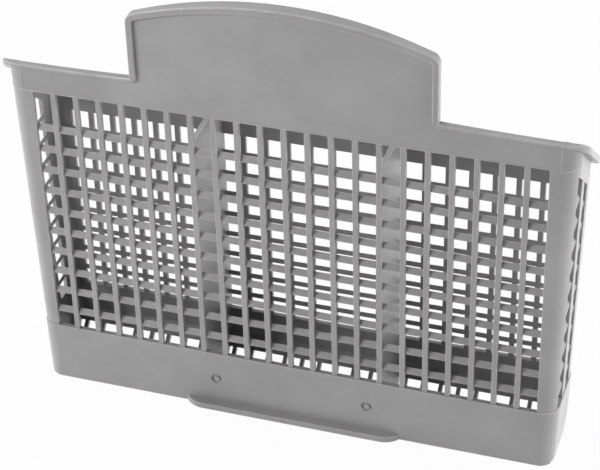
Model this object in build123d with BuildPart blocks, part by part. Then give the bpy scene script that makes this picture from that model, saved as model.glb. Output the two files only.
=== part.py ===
from build123d import *
from math import atan2, cos, radians, sqrt, tan
import os

# Dishwasher cutlery basket, one moulding in grey polypropylene, in millimetres.
# +Z is up, the high front wall with the grip faces -Y, and the basket stands on Z = 0.

# Walls
wall = 2.0
base_depth = 34.8
side_draft = 1.4
back_draft = 0.8
corner_radius = 7.0

# Plain band round the bottom, standing a little proud of the lattice
band_height = 29.4
band_proud = 0.4
side_edge_radius = 3.2
front_edge_radius = 0.8

# Heel, where the floor slopes up to the back wall
heel_run = 15.7
heel_rise = 15.0

# Louvred lattice, with plain corner posts and a taller top row in the front
column_count = 22
column_pitch = 10.0
slot_width = 7.7
corner_post = 6.4
row_pitch = 10.6
bar_height = 2.9
bar_setback = 0.3
front_bars = 10
back_bars = 8
front_top_row = 16.3
side_pitch = 12.8
side_lead = 2.4
side_bars = (10, 9)
cut_clearance = 1.0

# Plain wall between the lattice and the rim
front_margin = 13.0
side_margin = 15.0
back_margin = 16.6

# Two partitions, as thick as the uprights that they stand behind
middle_columns = 8

# Floor of ribs from front to back, with one beam along its fold
floor_margin = 2.6
floor_lip = 3.9
floor_rib = 1.8
floor_rib_pitch = 8.04
floor_beam = 2.4

# Rim flange, which runs on as the border of the grip and is thicker round the sides and the back
rim_thickness = 1.5
rim_proud = 1.4
side_rim_thickness = 2.8
side_rim_proud = 3.2
back_rim_proud = 2.0
wing_rise = 1.0

# Grip plate with an arched top that turns back as a finger flange
grip_width = 129.0
grip_height = 41.3
grip_border = 2.8
arch_radius = 193.5
arch_border = 3.0
grip_corner = 4.5
grip_inner_corner = 1.2
grip_elbow = 2.4
grip_flange = 4.7
grip_flange_drop = 13.0

# Foot lip along the bottom of the front
foot_width = 98.0
foot_reach = 3.8
foot_thickness = 2.9
foot_end = 8.0

# Heights of the lattice and the walls
slot_height = row_pitch - bar_height
front_top = band_height + front_bars * row_pitch + front_top_row
back_top = band_height + back_bars * row_pitch + slot_height
front_height = front_top + front_margin
back_height = back_top + back_margin
grip_top = front_height + grip_height

# Widths, and depths measured from the middle between the foot lip and the back rim
side_slope = tan(radians(side_draft))
back_slope = tan(radians(back_draft))
base_width = column_count * column_pitch + 2 * corner_post
wing_end = base_width / 2 + front_height * side_slope - corner_radius
partition = column_pitch - slot_width
partition_x = middle_columns * column_pitch / 2
front_y = (band_proud + foot_reach - base_depth - back_height * back_slope - back_rim_proud) / 2
band_y = front_y - band_proud
foot_end_radius = (foot_end ** 2 + foot_reach ** 2) / (2 * foot_reach)
span = 2 * base_width


def front_at(z):
    return front_y


def back_at(z):
    return front_y + base_depth + z * back_slope


def side_at(z):
    return base_width / 2 + z * side_slope


front_outline = [(-side_at(0), 0), (side_at(0), 0), (side_at(span), span), (-side_at(span), span)]
side_outline = [(front_y, 0), (back_at(0), 0), (back_at(span), span), (front_y, span)]
heel_line = [(back_at(0) - heel_run, 0), (back_at(heel_rise), heel_rise)]
heel_outline = [side_outline[0], *heel_line, *side_outline[2:]]


def upright(edge):
    run = edge.tangent_at(0)
    return abs(run.Z) > abs(run.X) + abs(run.Y)


# Drafted block with rounded corners, lying inset millimetres inside the outer wall faces
def hull(inset, bottom, top):
    views = [(Plane.XZ, front_outline, Mode.ADD), (Plane.YZ, side_outline, Mode.INTERSECT)]
    with BuildPart() as block:
        for plane, outline, mode in views:
            with BuildSketch(plane):
                with BuildLine():
                    Polyline(*outline, close=True)
                make_face()
                if inset:
                    offset(amount=-inset, kind=Kind.INTERSECTION)
            extrude(amount=span, both=True, mode=mode)
        fillet(block.edges().filter_by(upright), corner_radius - inset)
        split(bisect_by=Plane.XY.offset(bottom), keep=Keep.TOP)
        split(bisect_by=Plane.XY.offset(top), keep=Keep.BOTTOM)
    return block.part


# The same block with the sloping heel and with rounded bottom edges along the sides
def trough(inset, bottom, top):
    with BuildPart() as block:
        add(hull(inset, bottom, top))
        with BuildSketch(Plane.YZ) as profile:
            with BuildLine():
                Polyline(*heel_outline, close=True)
            make_face()
            offset(amount=-inset, kind=Kind.INTERSECTION)
            if inset < 0:
                fillet(profile.vertices().group_by(Axis.Y)[0].sort_by(Axis.X)[0], front_edge_radius - inset)
        extrude(amount=span, both=True, mode=Mode.INTERSECT)
        with BuildSketch(Plane.XZ) as profile:
            with BuildLine():
                Polyline(*front_outline, close=True)
            make_face()
            offset(amount=-inset, kind=Kind.INTERSECTION)
            fillet(profile.vertices().group_by(Axis.Y)[0], side_edge_radius - inset)
        extrude(amount=span, both=True, mode=Mode.INTERSECT)
    return block.part


# Outline of one column of slots seen along the wall, with the wedge bars left standing.
# Each bar has an upright inner face, a flat underside and a face sloping out and down to its tip.
def slot_outline(face, inward, bars, top):
    through = wall + cut_clearance
    rise = bar_height * (through - bar_setback) / (wall - bar_setback)
    points = [(face(band_height) - inward * cut_clearance, band_height)]
    points.append((face(band_height) + inward * through, band_height))
    for bar in range(bars):
        z = band_height + slot_height + bar * row_pitch
        points.append((face(z) + inward * through, z))
        points.append((face(z) + inward * bar_setback, z))
        points.append((face(z) + inward * through, z + rise))
    points.append((face(top) + inward * through, top))
    points.append((face(top) - inward * cut_clearance, top))
    return points


# Top edge of the side walls in side view: level on the front, sloping down, level on the back
slope_start = (front_y + wall, front_height)
slope_end = (back_at(back_height) - wall, back_height)
slope_angle = atan2(front_height - back_height, slope_end[0] - slope_start[0])
rim_line = [(front_y - span, front_height), slope_start, slope_end, (span, back_height)]


# The rim line lowered by a distance measured square to it
def lowered(distance):
    shift = distance * tan(slope_angle / 2)
    return [(y - shift, z - distance) for y, z in rim_line]


cavity = trough(wall, 0, grip_top)

# Side slots under the sloping rim, drawn on the right and mirrored
with BuildPart() as side_slots:
    for bars, along in zip(side_bars, (-side_pitch / 2, side_pitch / 2)):
        with BuildSketch(Plane.XZ.offset(side_lead - front_y - base_depth / 2 - along)):
            with BuildLine():
                Polyline(*slot_outline(side_at, -1, bars, front_height), close=True)
            make_face()
        extrude(amount=slot_width / 2, both=True)
    with BuildSketch(Plane.YZ):
        with BuildLine():
            Polyline(*lowered(side_margin * cos(slope_angle)), (span, 0), (-span, 0), close=True)
        make_face()
    extrude(amount=span, both=True, mode=Mode.INTERSECT)
    mirror(about=Plane.YZ)

# Partitions, let into the walls and the floor
with BuildPart() as partitions:
    with BuildSketch():
        with GridLocations(2 * partition_x, span, 2, 1):
            Rectangle(partition, span)
    extrude(amount=back_height)
    add(trough(wall / 2, 0, back_height), mode=Mode.INTERSECT)

# Rim flange round the corners, the sides and the back.
# Its underside is level behind the front edge and then runs down along the thicker sides.
inner_wing = front_height - rim_thickness
under_start = slope_start[0] + (rim_thickness - side_rim_thickness / cos(slope_angle)) / tan(slope_angle)
rim_under = [(front_y - span, inner_wing), (under_start, inner_wing), *lowered(side_rim_thickness)[2:]]
with BuildPart() as rim:
    with BuildSketch() as plan:
        with BuildLine():
            Polyline(
                (-side_at(front_height) - side_rim_proud, front_y - rim_proud),
                (side_at(front_height) + side_rim_proud, front_y - rim_proud),
                (side_at(back_height) + side_rim_proud, back_at(back_height) + back_rim_proud),
                (-side_at(back_height) - side_rim_proud, back_at(back_height) + back_rim_proud),
                close=True,
            )
        make_face()
        fillet(plan.vertices(), corner_radius + rim_proud)
    extrude(amount=front_height)
    with BuildSketch(Plane.YZ):
        with BuildLine():
            Polyline(*rim_line, *reversed(rim_under), close=True)
        make_face()
    extrude(amount=span, both=True, mode=Mode.INTERSECT)
    add(cavity, mode=Mode.SUBTRACT)
    with BuildSketch(Plane.XZ.offset(-front_y - wall)):
        with Locations((0, front_height)):
            Rectangle(2 * wing_end, back_height)
    extrude(amount=span, mode=Mode.SUBTRACT)


# Edge line along the front panel: rising wings, and the arched grip between them.
# inset and drop lead from the outer edge to the inner edge of the border.
def crest(wing, inset, drop, corner, elbow):
    half = grip_width / 2 - inset
    shoulder = grip_top - arch_radius + sqrt((arch_radius - drop) ** 2 - half ** 2)
    with BuildLine() as line:
        TangentArc((-wing_end, wing), (-half, wing + wing_rise), tangent=(1, 0))
        Line((-half, wing + wing_rise), (-half, shoulder))
        ThreePointArc((-half, shoulder), (0, grip_top - drop), (half, shoulder))
        Line((half, shoulder), (half, wing + wing_rise))
        TangentArc((wing_end, wing), (half, wing + wing_rise), tangent=(-1, 0))
        fillet(line.vertices().group_by(Axis.Y)[-1], corner)
        if elbow:
            fillet(line.vertices().group_by(Axis.Y)[1], elbow)
    return line.line


outer_crest = crest(front_height, 0, 0, grip_corner, 0)
inner_crest = crest(inner_wing, grip_border, arch_border, grip_inner_corner, grip_elbow)

# Border along the crest, drawn forward as the rim and back into the finger flange of the arch
with BuildPart() as border:
    with BuildSketch(Plane.XZ.offset(-front_y)):
        with BuildLine():
            add(outer_crest)
            add(inner_crest)
            Line((-wing_end, front_height), (-wing_end, inner_wing))
            Line((wing_end, front_height), (wing_end, inner_wing))
        make_face()
    extrude(amount=span, both=True)
    with BuildSketch(Plane.YZ):
        with BuildLine():
            Polyline(
                (front_y - rim_proud, back_height), (front_y + wall, back_height),
                (front_y + wall, grip_top - grip_flange_drop), (front_y + grip_flange, grip_top),
                (front_y - rim_proud, grip_top),
                close=True,
            )
        make_face()
    extrude(amount=span, both=True, mode=Mode.INTERSECT)

with BuildPart() as basket:
    # Outside of the band and the lattice walls, cut off along the sloping rim and hollowed
    add(trough(-band_proud, 0, band_height))
    add(hull(0, band_height, front_height))
    with BuildSketch(Plane.YZ):
        with BuildLine():
            Polyline(*rim_line, (span, 0), (front_y - span, 0), close=True)
        make_face()
    extrude(amount=span, both=True, mode=Mode.INTERSECT)
    add(cavity, mode=Mode.SUBTRACT)

    # Slots of the front, the back and the sides
    columns = [(column - (column_count - 1) / 2) * column_pitch for column in range(column_count)]
    front_slots = slot_outline(front_at, 1, front_bars, front_top)
    back_slots = slot_outline(back_at, -1, back_bars, back_top)
    with BuildSketch(*[Plane.YZ.offset(x) for x in columns]):
        for outline in (front_slots, back_slots):
            with BuildLine():
                Polyline(*outline, close=True)
            make_face()
    extrude(amount=slot_width / 2, both=True, mode=Mode.SUBTRACT)
    add(side_slots.part, mode=Mode.SUBTRACT)

    # Openings of the floor between its ribs, the partitions and the beam in front of the fold
    with BuildSketch():
        with Locations((0, front_y + base_depth / 2)):
            Rectangle(base_width - 2 * (wall + floor_margin), base_depth)
            with GridLocations(2 * partition_x, base_depth, 2, 1):
                Rectangle(partition, span, mode=Mode.SUBTRACT)
            with GridLocations(floor_rib_pitch, base_depth, 2 * int(base_width / 2 / floor_rib_pitch), 1):
                Rectangle(floor_rib, span, mode=Mode.SUBTRACT)
        with Locations((0, front_y)):
            Rectangle(span, 2 * (wall + floor_margin), mode=Mode.SUBTRACT)
        with Locations((0, heel_line[0][0] - floor_beam / 2)):
            Rectangle(span, floor_beam, mode=Mode.SUBTRACT)
    extrude(amount=heel_rise - floor_lip, mode=Mode.SUBTRACT)

    add(partitions.part)
    add(rim.part)

    # Front panel up into the grip, with its border
    with BuildSketch(Plane.XZ.offset(-front_y)):
        with BuildLine():
            add(outer_crest)
            Polyline(
                (wing_end, front_height), (wing_end, front_top),
                (-wing_end, front_top), (-wing_end, front_height),
            )
        make_face()
    extrude(amount=-wall)
    add(border.part)

    # Foot lip with ends running out into the band
    with BuildSketch():
        with BuildLine():
            left = (foot_end - foot_width / 2, band_y - foot_reach)
            right = (foot_width / 2 - foot_end, band_y - foot_reach)
            Line(left, right)
            RadiusArc((-foot_width / 2, band_y), left, -foot_end_radius)
            RadiusArc(right, (foot_width / 2, band_y), -foot_end_radius)
            Polyline(
                (foot_width / 2, band_y), (foot_width / 2, front_y + wall),
                (-foot_width / 2, front_y + wall), (-foot_width / 2, band_y),
            )
        make_face()
    extrude(amount=foot_thickness)

basket.part.label = "basket"

os.makedirs("parts", exist_ok=True)
export_step(basket.part, "parts/basket.step")
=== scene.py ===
from math import radians
import bmesh
import bpy
from mathutils import Matrix, Vector


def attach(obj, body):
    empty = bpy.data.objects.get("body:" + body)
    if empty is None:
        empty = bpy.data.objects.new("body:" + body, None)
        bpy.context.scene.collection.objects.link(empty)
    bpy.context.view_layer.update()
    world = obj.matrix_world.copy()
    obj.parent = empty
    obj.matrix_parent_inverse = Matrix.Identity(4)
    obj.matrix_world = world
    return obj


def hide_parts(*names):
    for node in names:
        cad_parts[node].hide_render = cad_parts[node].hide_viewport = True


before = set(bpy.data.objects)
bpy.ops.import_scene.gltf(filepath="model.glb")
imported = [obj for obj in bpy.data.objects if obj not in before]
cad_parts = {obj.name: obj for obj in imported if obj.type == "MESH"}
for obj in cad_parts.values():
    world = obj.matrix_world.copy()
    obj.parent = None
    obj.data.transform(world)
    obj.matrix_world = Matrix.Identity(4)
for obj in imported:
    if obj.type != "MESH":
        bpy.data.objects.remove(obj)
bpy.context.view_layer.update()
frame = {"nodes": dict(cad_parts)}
mm = 0.001
scene = bpy.context.scene
scene.view_settings.view_transform = "Standard"
print("frame loaded:", ", ".join(frame["nodes"]))


def toLinear(hexColour):
    parts = [int(hexColour[i:i + 2], 16) / 255 for i in (1, 3, 5)]
    return [c / 12.92 if c <= 0.04045 else ((c + 0.055) / 1.055) ** 2.4 for c in parts] + [1.0]


# adds one node, with its settings and its sockets by name:
# a socket gets a value, or the socket that feeds it
def addNode(tree, kind, settings=None, sockets=None):
    node = tree.nodes.new(kind)
    for name, value in (settings or {}).items():
        setattr(node, name, value)
    for name, value in (sockets or {}).items():
        if isinstance(value, bpy.types.NodeSocket):
            tree.links.new(value, node.inputs[name])
        else:
            node.inputs[name].default_value = value
    return node


# Moulded polypropylene: a dull satin grey with a faint cloudiness from the flow of the melt,
# the fine even grain of an eroded mould, and rounded edges painted a lighter grey: partly rubbed
# by use, partly painted highlight.
polypropylene = {
    "dark": "#8a8989",
    "light": "#979696",
    "cloudSize": 30 * mm,
    "cloudRange": (0.3, 0.7),       # part of the noise that the two greys spread over
    "wornAndHighlight": "#bcbbbb",
    "wearSize": 6 * mm,
    "wearRange": (0.3, 0.65),
    "wearAndHighlightShare": (0.225, 0.75),     # least and most of the lighter edge grey, wear and painted highlight, on an edge
    "grainSize": 0.9 * mm,          # the real grain is about 0.1 mm, too fine to show here
    "grainDepth": 0.012 * mm,
    "grainRange": (0.3, 0.7),
    "roughness": (0.42, 0.54),
    "ior": 1.49,
}


def makePolypropylene(look):
    material = bpy.data.materials.new("mouldedPolypropylene")
    material.use_nodes = True
    tree = material.node_tree
    tree.nodes.clear()
    place = addNode(tree, "ShaderNodeTexCoord").outputs["Object"]
    cloud = addNode(tree, "ShaderNodeTexNoise", None, {
        "Vector": place, "Scale": 1 / look["cloudSize"], "Detail": 4.0, "Roughness": 0.55})
    colour = addNode(tree, "ShaderNodeValToRGB", None, {"Fac": cloud.outputs["Fac"]})
    greys = (look["dark"], look["light"])
    for stop, position, grey in zip(colour.color_ramp.elements, look["cloudRange"], greys):
        stop.position = position
        stop.color = toLinear(grey)
    # the faces of the rounds get a lighter grey, which is partly wear and partly painted edge
    # highlight
    edge = addNode(tree, "ShaderNodeAttribute", {"attribute_name": "roundedEdge"})
    patchy = addNode(tree, "ShaderNodeTexNoise", None, {
        "Vector": place, "Scale": 1 / look["wearSize"], "Detail": 3.0})
    rubbedAndHighlit = addNode(tree, "ShaderNodeMapRange", None, {
        "Value": patchy.outputs["Fac"],
        "From Min": look["wearRange"][0], "From Max": look["wearRange"][1],
        "To Min": look["wearAndHighlightShare"][0], "To Max": look["wearAndHighlightShare"][1]})
    share = addNode(tree, "ShaderNodeMath", {"operation": "MULTIPLY"}, {
        0: edge.outputs["Fac"], 1: rubbedAndHighlit.outputs["Result"]})
    # sockets 6 and 7 are the Mix node's two colours, and output 2 is its colour
    wornAndHighlight = addNode(tree, "ShaderNodeMix", {"data_type": "RGBA"}, {
        "Factor": share.outputs[0], 6: colour.outputs["Color"], 7: toLinear(look["wornAndHighlight"])})
    grain = addNode(tree, "ShaderNodeTexNoise", None, {
        "Vector": place, "Scale": 1 / look["grainSize"], "Detail": 2.0})
    gloss = addNode(tree, "ShaderNodeMapRange", None, {
        "Value": grain.outputs["Fac"],
        "From Min": look["grainRange"][0], "From Max": look["grainRange"][1],
        "To Min": look["roughness"][0], "To Max": look["roughness"][1]})
    bump = addNode(tree, "ShaderNodeBump", None, {
        "Height": grain.outputs["Fac"], "Distance": look["grainDepth"], "Strength": 1.0})
    shader = addNode(tree, "ShaderNodeBsdfPrincipled", None, {
        "Base Color": wornAndHighlight.outputs[2], "Roughness": gloss.outputs["Result"],
        "IOR": look["ior"], "Normal": bump.outputs["Normal"]})
    addNode(tree, "ShaderNodeOutputMaterial", None, {"Surface": shader.outputs["BSDF"]})
    return material


plastic = makePolypropylene(polypropylene)
print("material made:", plastic.name)


# edges that run between the given vertices, in the form's own order
def edgesAmong(form, verts):
    chosen = set(verts)
    return [e for e in form.edges if all(v in chosen for v in e.verts)]


# Two ring grooves that the mould leaves in the face of the band, made as a cutter
ringGrooves = {
    "bandFace": -17.667 * mm,
    "places": ((-34.5 * mm, 15.4 * mm), (34.5 * mm, 15.4 * mm)),
    "ringRadius": 1.85 * mm,
    "grooveRadius": 0.65 * mm,
    "sunk": 0.1 * mm,
    "ringSteps": 40,
    "grooveSteps": 12,
}


def makeRingCutter(look):
    form = bmesh.new()
    for x, z in look["places"]:
        centre = Vector((x, look["bandFace"] + look["sunk"], z))
        ring = bmesh.ops.create_circle(
            form, segments=look["grooveSteps"], radius=look["grooveRadius"],
            matrix=Matrix.Translation(centre + Vector((look["ringRadius"], 0, 0))))["verts"]
        bmesh.ops.spin(form, geom=ring + edgesAmong(form, ring), cent=centre, axis=(0, 1, 0),
                       angle=radians(360), steps=look["ringSteps"], use_merge=True)
    bmesh.ops.recalc_face_normals(form, faces=form.faces)
    mesh = bpy.data.meshes.new("ringCutter")
    form.to_mesh(mesh)
    form.free()
    cutter = bpy.data.objects.new("ringCutter", mesh)
    scene.collection.objects.link(cutter)
    return cutter


# cuts the cutter out of the form, and deletes the cutter
def cutAway(form, cutter):
    mesh = bpy.data.meshes.new("uncut")
    form.to_mesh(mesh)
    form.clear()
    uncut = bpy.data.objects.new("uncut", mesh)
    scene.collection.objects.link(uncut)
    cut = uncut.modifiers.new("cut", "BOOLEAN")
    cut.operation, cut.solver, cut.object = "DIFFERENCE", "EXACT", cutter
    done = uncut.evaluated_get(bpy.context.evaluated_depsgraph_get())
    form.from_mesh(done.to_mesh())
    done.to_mesh_clear()
    for spent in (uncut, cutter):
        bpy.data.objects.remove(spent)


# Rim and border of the grip, with rounder edges than the rest, and where their outer faces lie
rimEdge = {
    "radius": 0.6 * mm,
    "segments": 3,
    # share of the lighter grey on these rounds: wear and painted highlight
    "wearAndHighlight": 0.6,
    "lowest": 120 * mm,
    "upright": 0.2,             # largest upward part of an outer face's normal
    "front": -18.5 * mm,
    "back": 20.9 * mm,
    "side": 120.9 * mm,
    "cornerX": 115 * mm,
    "cornerFront": -12.6 * mm,
    "cornerBack": 15 * mm,
    "cornerHeight": 8 * mm,     # the walls' own corner faces are taller
}


def isRimFace(face, look):
    middle = face.calc_center_median()
    heights = [v.co.z for v in face.verts]
    if middle.z < look["lowest"] or abs(face.normal.z) > look["upright"]:
        return False
    nearEnd = not look["cornerFront"] < middle.y < look["cornerBack"]
    low = max(heights) - min(heights) < look["cornerHeight"]
    inCorner = abs(middle.x) > look["cornerX"] and nearEnd and low
    atSide = abs(middle.x) > look["side"]
    return middle.y < look["front"] or middle.y > look["back"] or atSide or inCorner


# The moulding, with every outer edge rounded as the mould leaves it
moulding = {
    "node": "basket",
    "edgeRadius": 0.26 * mm,
    "edgeSegments": 2,
    # share of the lighter grey on the other rounds: wear and painted highlight
    "edgeWearAndHighlight": 1.0,
    "shortestEdge": 0.6 * mm,
    "sharpAngle": radians(30),
    "flatAngle": radians(0.3),
    "weld": 0.001 * mm,
}


# rounds the edges and marks the new faces, which the material paints lighter: partly wear, partly
# painted highlight
def roundEdges(form, edges, radius, segments, wearAndHighlight):
    faces = bmesh.ops.bevel(
        form, geom=edges, affect="EDGES", offset=radius, offset_type="OFFSET", segments=segments,
        profile=0.5, material=-1, clamp_overlap=False)["faces"]
    edgeMark = form.faces.layers.float["roundedEdge"]
    for face in faces:
        face[edgeMark] = wearAndHighlight
    return set(faces)


def makeMoulding(look):
    form = bmesh.new()
    form.from_mesh(frame["nodes"][look["node"]].data)
    bmesh.ops.remove_doubles(form, verts=form.verts, dist=look["weld"])
    bmesh.ops.dissolve_limit(
        form, angle_limit=look["flatAngle"], verts=form.verts, edges=form.edges)
    cutAway(form, makeRingCutter(ringGrooves))
    form.faces.layers.float.new("roundedEdge")

    def isOuter(edge):
        return edge.is_manifold and edge.is_convex and edge.calc_face_angle() > look["sharpAngle"]

    rimFaces = {f for f in form.faces if isRimFace(f, rimEdge)}
    rimLines = [e for e in form.edges
                if isOuter(e) and sum(f in rimFaces for f in e.link_faces) == 1]
    softFaces = roundEdges(form, rimLines, rimEdge["radius"], rimEdge["segments"], rimEdge["wearAndHighlight"])
    otherLines = [e for e in form.edges
                  if isOuter(e) and e.calc_length() > look["shortestEdge"]
                  and not any(f in softFaces for f in e.link_faces)]
    roundEdges(form, otherLines, look["edgeRadius"], look["edgeSegments"], look["edgeWearAndHighlight"])
    # where two rounds meet, the face left between them has no width and goes
    bmesh.ops.remove_doubles(form, verts=form.verts, dist=look["weld"])
    for face in form.faces:
        face.smooth = True
    mesh = bpy.data.meshes.new("basketMoulding")
    form.to_mesh(mesh)
    form.free()
    mesh.set_sharp_from_angle(angle=look["sharpAngle"])
    mesh.materials.clear()
    mesh.materials.append(plastic)
    piece = bpy.data.objects.new("basketMoulding", mesh)
    scene.collection.objects.link(piece)
    flat = piece.modifiers.new("flatFaces", "WEIGHTED_NORMAL")
    flat.keep_sharp = True
    flat.mode = "FACE_AREA"
    return piece


basket = makeMoulding(moulding)
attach(basket, "root")
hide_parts(moulding["node"])
print("moulding made:", len(basket.data.polygons), "faces")

# Parting line of the mould: a fine bead above the slots, round both front corners,
# with an upright one at each end of the front panel
partingLine = {
    "height": 151.95 * mm,
    "beadRadius": 0.2 * mm,
    "beadSteps": 8,
    # the bead takes the lighter edge grey in full: a painted highlight line along the parting
    # line, with patchy wear
    "beadWearAndHighlight": 1.0,
    "frontFace": -17.267 * mm,
    "cornerRadius": 7.0 * mm,
    "cornerX": 113.11 * mm,
    "cornerSteps": 10,
    "sideRun": 0.8 * mm,
    "panelEnd": 113.3 * mm,
    "panelRise": 11.3 * mm,
    "sharpAngle": radians(60),
}


def makePartingLine(look):
    form = bmesh.new()
    edgeMark = form.faces.layers.float.new("roundedEdge")
    cornerY = look["frontFace"] + look["cornerRadius"]

    def startLoop(place, turn):
        ring = bmesh.ops.create_circle(
            form, segments=look["beadSteps"], radius=look["beadRadius"],
            matrix=Matrix.Translation(place) @ Matrix.Rotation(turn, 4, "X"))["verts"]
        return edgesAmong(form, ring)

    def runOn(loop, way):
        grown = bmesh.ops.extrude_edge_only(form, edges=loop)["geom"]
        ends = [g for g in grown if isinstance(g, bmesh.types.BMVert)]
        bmesh.ops.translate(form, verts=ends, vec=way)
        return edgesAmong(form, ends)

    def roundCorner(loop, x):
        chosen = {v for e in loop for v in e.verts}
        ring = [v for v in form.verts if v in chosen]
        last = bmesh.ops.spin(
            form, geom=ring + loop, cent=(x, cornerY, look["height"]), axis=(0, 0, 1),
            angle=radians(90), steps=look["cornerSteps"])["geom_last"]
        return [g for g in last if isinstance(g, bmesh.types.BMEdge)]

    sideX = look["cornerX"] + look["cornerRadius"]
    loop = startLoop((-sideX, cornerY + look["sideRun"], look["height"]), radians(90))
    loop = runOn(loop, (0, -look["sideRun"], 0))
    loop = roundCorner(loop, -look["cornerX"])
    loop = runOn(loop, (2 * look["cornerX"], 0, 0))
    loop = roundCorner(loop, look["cornerX"])
    runOn(loop, (0, look["sideRun"], 0))
    for x in (-look["panelEnd"], look["panelEnd"]):
        foot = startLoop((x, look["frontFace"], look["height"]), 0)
        runOn(foot, (0, 0, look["panelRise"]))
    bmesh.ops.edgeloop_fill(form, edges=[e for e in form.edges if e.is_boundary])
    bmesh.ops.recalc_face_normals(form, faces=form.faces)
    for face in form.faces:
        # every face of the bead gets the lighter grey: painted highlight, with some wear
        face[edgeMark] = look["beadWearAndHighlight"]
        face.smooth = True
    mesh = bpy.data.meshes.new("partingLine")
    form.to_mesh(mesh)
    form.free()
    mesh.set_sharp_from_angle(angle=look["sharpAngle"])
    mesh.materials.append(plastic)
    piece = bpy.data.objects.new("partingLine", mesh)
    scene.collection.objects.link(piece)
    return piece


bead = makePartingLine(partingLine)
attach(bead, "root")
print("parting line made:", len(bead.data.polygons), "faces")

# Stage: a sweep of white paper under a white sky, lit by soft boxes.
# Both show white to the camera, and the paper shows as a lit sheet in reflections.
stage = {
    "floorColour": "#cccccb",
    "floorSize": 6.0,
    "glow": 0.96,           # share of pure white that the camera sees
    "floorMirrored": 2.2,   # strength in reflections
    "skyMirrored": 0.15,
    "sky": 0.02,
    "white": (1, 1, 1, 1),
}


def makeFloor(look):
    form = bmesh.new()
    bmesh.ops.create_grid(form, x_segments=1, y_segments=1, size=look["floorSize"] / 2)
    mesh = bpy.data.meshes.new("floor")
    form.to_mesh(mesh)
    form.free()
    material = bpy.data.materials.new("whitePaper")
    material.use_nodes = True
    tree = material.node_tree
    tree.nodes.clear()
    ray = addNode(tree, "ShaderNodeLightPath")
    share = addNode(tree, "ShaderNodeMath", {"operation": "MULTIPLY_ADD"}, {
        0: ray.outputs["Is Camera Ray"], 1: look["glow"], 2: ray.outputs["Is Glossy Ray"]})
    power = addNode(tree, "ShaderNodeMath", {"operation": "MULTIPLY_ADD"}, {
        0: ray.outputs["Is Glossy Ray"], 1: look["floorMirrored"],
        2: ray.outputs["Is Camera Ray"]})
    paper = addNode(tree, "ShaderNodeBsdfDiffuse", None, {
        "Color": toLinear(look["floorColour"])})
    glow = addNode(tree, "ShaderNodeEmission", None, {
        "Color": look["white"], "Strength": power.outputs[0]})
    mix = addNode(tree, "ShaderNodeMixShader", None, {
        "Fac": share.outputs[0], 1: paper.outputs["BSDF"], 2: glow.outputs["Emission"]})
    addNode(tree, "ShaderNodeOutputMaterial", None, {"Surface": mix.outputs["Shader"]})
    mesh.materials.append(material)
    floor = bpy.data.objects.new("floor", mesh)
    scene.collection.objects.link(floor)


def makeSky(look):
    world = bpy.data.worlds.new("studio")
    world.use_nodes = True
    tree = world.node_tree
    tree.nodes.clear()
    ray = addNode(tree, "ShaderNodeLightPath")
    share = addNode(tree, "ShaderNodeMath", {"operation": "ADD"}, {
        0: ray.outputs["Is Glossy Ray"], 1: ray.outputs["Is Camera Ray"]})
    power = addNode(tree, "ShaderNodeMath", {"operation": "MULTIPLY_ADD"}, {
        0: ray.outputs["Is Glossy Ray"], 1: look["skyMirrored"], 2: ray.outputs["Is Camera Ray"]})
    shown = addNode(tree, "ShaderNodeBackground", None, {
        "Color": look["white"], "Strength": power.outputs[0]})
    soft = addNode(tree, "ShaderNodeBackground", None, {
        "Color": look["white"], "Strength": look["sky"]})
    mix = addNode(tree, "ShaderNodeMixShader", None, {
        "Fac": share.outputs[0], 1: soft.outputs["Background"], 2: shown.outputs["Background"]})
    addNode(tree, "ShaderNodeOutputWorld", None, {"Surface": mix.outputs["Shader"]})
    scene.world = world


# name: place, aim, width, height in metres, and watts
softBoxes = {
    "keyLeft": ((-0.95, -0.6, 0.4), (0, 0, 0.1), 0.3, 0.3, 6.8),
    "highLeft": ((-0.6, -0.7, 0.8), (0, 0, 0.1), 0.3, 0.3, 5.1),
    "sideRight": ((1.25, -0.05, 0.2), (0, 0, 0.1), 0.7, 0.7, 15.3),
    "topLeft": ((-0.7, 0.3, 1.0), (0, 0, 0.1), 0.6, 0.6, 8.2),
    "topRight": ((0.75, 0.2, 0.95), (0, 0, 0.1), 0.4, 0.4, 7.0),
}
shadedFromGloss = {"sideRight"}   # low enough to glare along the rim


def makeLight(name, place, aim, width, height, watts):
    lamp = bpy.data.lights.new(name, "AREA")
    lamp.shape = "RECTANGLE"
    lamp.size, lamp.size_y, lamp.energy = width, height, watts
    light = bpy.data.objects.new(name, lamp)
    light.location = place
    light.rotation_euler = (Vector(aim) - Vector(place)).to_track_quat("-Z", "Y").to_euler()
    light.visible_glossy = name not in shadedFromGloss
    scene.collection.objects.link(light)


makeFloor(stage)
makeSky(stage)
for name, settings in softBoxes.items():
    makeLight(name, *settings)
print("stage made:", len(softBoxes), "lights")

# Camera at the photograph's angle, with its axes written out
view = {
    "eye": (232.41, -685.92, 604.83),   # mm
    "right": (0.95221, 0.30453, -0.02352),
    "up": (-0.15875, 0.55922, 0.81368),
    "back": (0.26094, -0.77105, 0.58085),
    "lens": 125.84,
    "sensor": 36.0,
    "clip": (0.05, 20.0),
}


def makeCamera(look):
    optics = bpy.data.cameras.new("camera")
    optics.sensor_fit = "HORIZONTAL"
    optics.sensor_width, optics.lens = look["sensor"], look["lens"]
    optics.clip_start, optics.clip_end = look["clip"]
    camera = bpy.data.objects.new("camera", optics)
    turn = Matrix([look["right"], look["up"], look["back"]]).transposed().to_4x4()
    camera.matrix_world = Matrix.Translation(Vector(look["eye"]) * mm) @ turn
    scene.collection.objects.link(camera)
    scene.camera = camera


makeCamera(view)
print("camera set")
